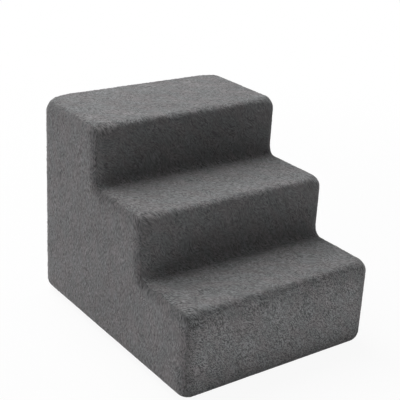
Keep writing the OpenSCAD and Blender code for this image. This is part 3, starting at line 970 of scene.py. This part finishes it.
# Zip: woven tapes, moulded teeth, and a cast slider with its pull tab
zipParts = {
    "tapeCell": 0.0011,
    "tapeColour": (0.030, 0.030, 0.032),
    "tapeLight": (0.060, 0.060, 0.063),
    "tapeRib": 0.75,        # woven rib, mm
    "closeStart": 0.0003,   # past the stops, where the two tapes start to close up
    "closeRun": 0.0022,
    "closeShare": 0.94,     # how much of the gap between them they close
    "selvedgeTurns": (-60, -20, 20, 60),   # degrees round each selvedge
    "faceRows": 10,         # across each face of the tape
    "toothColour": (0.050, 0.050, 0.052),
    "toothLight": 2.1,      # how much lighter the scuffs are
    "metalColour": (0.30, 0.30, 0.31),
    "metalDark": (0.16, 0.16, 0.165),
    "bevel": 0.00016,
    "bevelSteps": 3,
    "hardFrom": 25,         # degrees between two faces that share a hard edge
    "sharpFrom": 40,        # degrees from which an edge is shaded sharp
}


def tapeFinish(look):
    finish = newFinish("zipTape")
    place = finish.millimetres()
    turn = 2 * math.pi / look["tapeRib"]
    across, up = place.part(0), place.part(2)
    weave = (across * turn + (up * (turn * 0.5)).sine() * 1.2).sine() * 0.5 + 0.5
    fibre = finish.noise(place * (3.0, 3.0, 1.2))
    cloud = finish.noise(place * (0.1, 0.1, 0.1))
    tone = (weave * 0.65 + fibre * 0.35).clamped()
    return finish.surface({
        "Base Color": finish.mixed(tone, look["tapeColour"], look["tapeLight"]) * (0.8 + 0.4 * cloud),
        "Roughness": (0.72 + 0.2 * fibre).clamped(),
        "Normal": finish.bumped(tone, 0.00012),
    })


def toothFinish(look):
    finish = newFinish("zipTeeth")
    place = finish.millimetres()
    scuff = finish.noise(place * (0.9, 3.0, 3.0), 3.0)
    cloud = finish.noise(place * (0.08, 0.2, 0.2))
    light = tuple(look["toothLight"] * c for c in look["toothColour"])
    return finish.surface({
        "Base Color": finish.mixed((scuff * 0.6 + cloud * 0.4).ramped(0.42, 0.7), look["toothColour"], light),
        "Roughness": (0.28 + 0.35 * scuff).clamped(),
        "Normal": finish.bumped(scuff, 0.00004),
    })


def metalFinish(look):
    finish = newFinish("zipMetal")
    place = finish.millimetres()
    scratch = finish.noise(place * (0.7, 9.0, 9.0), 3.0)
    cast = finish.noise(place * (2.2, 2.2, 2.2), 3.0)
    rub = finish.noise(place * (0.35, 0.35, 0.35))
    worn = (rub * 0.7 + scratch * 0.3).ramped(0.4, 0.62)
    return finish.surface({
        "Base Color": finish.mixed(worn, look["metalDark"], look["metalColour"]),
        "Metallic": 1.0,
        "Roughness": (0.22 + 0.3 * cast * scratch + 0.15 * rub).clamped(),
        "Normal": finish.bumped(cast * 0.6 + scratch * 0.4, 0.00005),
    })


# A thin woven band with rounded selvedges, swept along the zip
def wovenTape(name, node, look, material):
    low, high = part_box(node)
    thick, wide = high.y - low.y, high.z - low.z
    half = thick / 2
    side = np.linspace(half, wide - half, look["faceRows"])
    bow = np.radians(look["selvedgeTurns"])
    ring = [(0.0, z) for z in side]
    ring += [(half * (1 - math.sin(t)), wide - half * (1 - math.cos(t))) for t in -bow]
    ring += [(thick, z) for z in side[::-1]]
    ring += [(half * (1 + math.sin(t)), half * (1 - math.cos(t))) for t in bow]
    ring = np.array(ring)
    steps = math.ceil((high.x - low.x) / look["tapeCell"])
    x = np.linspace(low.x, high.x, steps + 1)[:, None]
    points = np.stack([x + 0 * ring[:, 0], low.y + ring[:, 0] + 0 * x, low.z + ring[:, 1] + 0 * x], -1)
    stops = (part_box("zip_bottom_stop")[0].x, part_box("zip_top_stops")[1].x)
    past = np.clip((np.maximum(stops[0] - x, x - stops[1]) - look["closeStart"]) / look["closeRun"], 0, 1)
    inner, outer = (low.z, high.z) if low.z > stairs["zipZ"] else (high.z, low.z)
    toInner = (points[..., 2] - outer) / (inner - outer)
    closing = look["closeShare"] * past * past * (3 - 2 * past)
    points[..., 2] += (stairs["zipZ"] - inner) * closing * toInner
    count = len(ring)
    starts = np.arange(steps)[:, None] * count
    a = (starts + np.arange(count)).reshape(-1)
    b = (starts + (np.arange(count) + 1) % count).reshape(-1)
    faces = np.stack([a, b, b + count, a + count], 1).tolist()
    faces += [list(range(count))[::-1], list(range(steps * count, (steps + 1) * count))]
    tape = meshObject(name, points, faces)
    weld(tape, outward=True, distance=0.00001)
    dressPiece(tape, "stairs", [node], material)
    return tape


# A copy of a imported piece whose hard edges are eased, as on a casting
def easedPiece(name, node, body, look, material):
    work = bmesh.new()
    work.from_mesh(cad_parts[node].data)
    bmesh.ops.remove_doubles(work, verts=work.verts, dist=1e-6)
    bmesh.ops.dissolve_limit(work, angle_limit=math.radians(1), verts=work.verts, edges=work.edges)
    least = math.radians(look["hardFrom"])
    hard = [e for e in work.edges if len(e.link_faces) == 2 and e.calc_face_angle(0.0) > least]
    bmesh.ops.bevel(
        work, geom=hard, offset=look["bevel"], segments=look["bevelSteps"], profile=0.5,
        affect="EDGES", clamp_overlap=True)
    mesh = bpy.data.meshes.new(name)
    work.to_mesh(mesh)
    work.free()
    mesh.polygons.foreach_set("use_smooth", [True] * len(mesh.polygons))
    mesh.set_sharp_from_angle(angle=math.radians(look["sharpFrom"]))
    piece = bpy.data.objects.new(name, mesh)
    scene.collection.objects.link(piece)
    return dressPiece(piece, body, [node], material)


tapeWeave = tapeFinish(zipParts)
for name, node in (("upper_tape", "zip_tape_upper"), ("lower_tape", "zip_tape_lower")):
    wovenTape(name, node, zipParts, tapeWeave)
toothPlastic = toothFinish(zipParts)
for node in ("zip_teeth_upper", "zip_teeth_lower"):
    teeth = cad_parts[node]
    for holder in teeth.material_slots:
        holder.material = toothPlastic
zipMetal = metalFinish(zipParts)
metalPieces = {
    "top_stops": ("zip_top_stops", "stairs"),
    "bottom_stop": ("zip_bottom_stop", "stairs"),
    "slider_body": ("zip_slider", "slider"),
    "pull_tab": ("zip_pull_tab", "pull_tab"),
}
for name, (node, body) in metalPieces.items():
    easedPiece(name, node, body, zipParts, zipMetal)
print("zip made")


# Plain pale floor that keeps the object's shadow, a large lamp overhead, a weak one at each side, and a
# card on the floor that throws light up at the front
studio = {
    "floorColour": (0.90, 0.90, 0.90),
    "floorSize": 12.0,
    "floorWhite": 0.93,
    "floorFade": (0.6, 1.8),     # how far from the stairs the floor turns fully white
    "worldStrength": 0.14,
    "lamps": {                   # where it is, where it points, its two sides and its power
        "topLamp": ((-0.3, 1.4, 2.9), (0, 0, 0.2), (1.8, 2.7), 95.0),
        "leftLamp": ((-2.4, 0.1, 0.9), (0, 0, 0.2), (1.4, 1.4), 4.3),
        "rightLamp": ((2.4, -0.9, 0.9), (0, 0, 0.2), (1.4, 1.4), 2.2),
        "frontCard": ((-0.05, -0.47, 0.01), (-0.05, -0.47, 1.0), (1.0, 0.36), 0.80),
    },
}


def floorFinish(look):
    finish = newFinish("floor")
    plain = finish.add("ShaderNodeBsdfDiffuse", {}, {"Color": finish.asColour(look["floorColour"])})
    white = finish.add("ShaderNodeEmission", {}, {"Strength": 1.0})
    place = finish.add("ShaderNodeTexCoord", {}, {}, "Object")
    away = finish.add("ShaderNodeVectorMath", {"operation": "LENGTH"}, {0: place}, "Value")
    whiter = away.ramped(*look["floorFade"]) * (1 - look["floorWhite"])
    share = finish.seen() * (look["floorWhite"] + whiter)
    finish.add("ShaderNodeOutputMaterial", {}, {
        "Surface": finish.add("ShaderNodeMixShader", {}, {0: share, 1: plain, 2: white}),
    })
    return finish.owner


def layFloor(look):
    half = look["floorSize"] / 2
    points = np.array([[-half, -half, 0], [half, -half, 0], [half, half, 0], [-half, half, 0]], float)
    floor = meshObject("floor", points, [[0, 1, 2, 3]])
    floor.data.materials.append(floorFinish(look))


def softLamp(name, place, target, sides, power):
    data = bpy.data.lights.new(name, "AREA")
    data.shape = "RECTANGLE"
    data.size, data.size_y = sides
    data.energy = power
    lamp = bpy.data.objects.new(name, data)
    lamp.location = place
    lamp.rotation_mode = "QUATERNION"
    lamp.rotation_quaternion = (Vector(place) - Vector(target)).to_track_quat("Z", "Y")
    lamp.visible_camera = False
    scene.collection.objects.link(lamp)


def lightWorld(look):
    scene.world = bpy.data.worlds.new("studio")
    finish = Finish(scene.world)
    strength = look["worldStrength"] + finish.seen() * (1 - look["worldStrength"])
    light = finish.add("ShaderNodeBackground", {}, {"Color": (1, 1, 1, 1), "Strength": strength})
    finish.add("ShaderNodeOutputWorld", {}, {"Surface": light})


layFloor(studio)
for name, lamp in studio["lamps"].items():
    softLamp(name, *lamp)
lightWorld(studio)
scene.view_settings.view_transform = "Standard"
print("studio lit")
